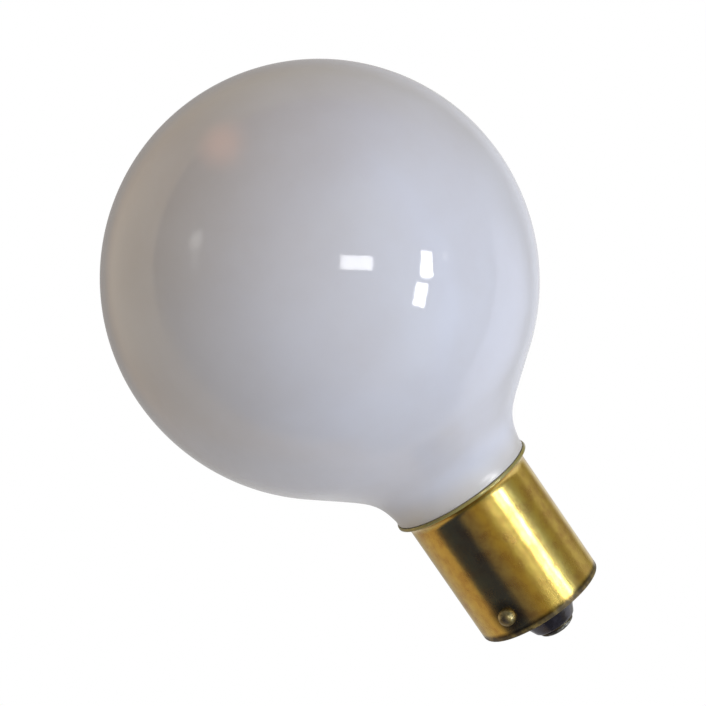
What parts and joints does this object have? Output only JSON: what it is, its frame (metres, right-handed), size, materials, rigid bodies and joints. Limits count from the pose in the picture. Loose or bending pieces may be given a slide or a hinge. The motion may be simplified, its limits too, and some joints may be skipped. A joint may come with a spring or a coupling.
{
  "type": "vanity bulb",
  "caption": "Opal white globe light bulb on a brass bayonet cap with a flared lip, side pins and a centre contact on a black glass insulator.",
  "frame": {"origin": "on the lamp's axis, level with the middle of the bayonet pins", "axes": "+Z along the lamp's axis from the cap to the globe, Y along the pins, X across them"},
  "size_m": [0.048, 0.048, 0.0725],
  "materials": {
    "opal_glass": "glossy opal white",
    "cap_brass": "bright drawn brass, lightly tarnished",
    "pin_brass": "turned brass",
    "black_glass": "moulded black glass",
    "plate_brass": "pressed brass, tarnished",
    "solder": "dull grey solder",
    "cement": "baked basing cement",
    "lead_wire": "drawn nickel wire"
  },
  "bodies": {
    "root": {"glass_bulb": "opal_glass", "cap_shell": "cap_brass", "bayonet_pin_front": "pin_brass", "bayonet_pin_rear": "pin_brass", "cap_insulator": "black_glass", "contact_plate": "plate_brass", "contact_solder": "solder", "basing_cement": "cement", "centre_lead": "lead_wire", "side_lead": "lead_wire"}
  },
  "joints": []
}
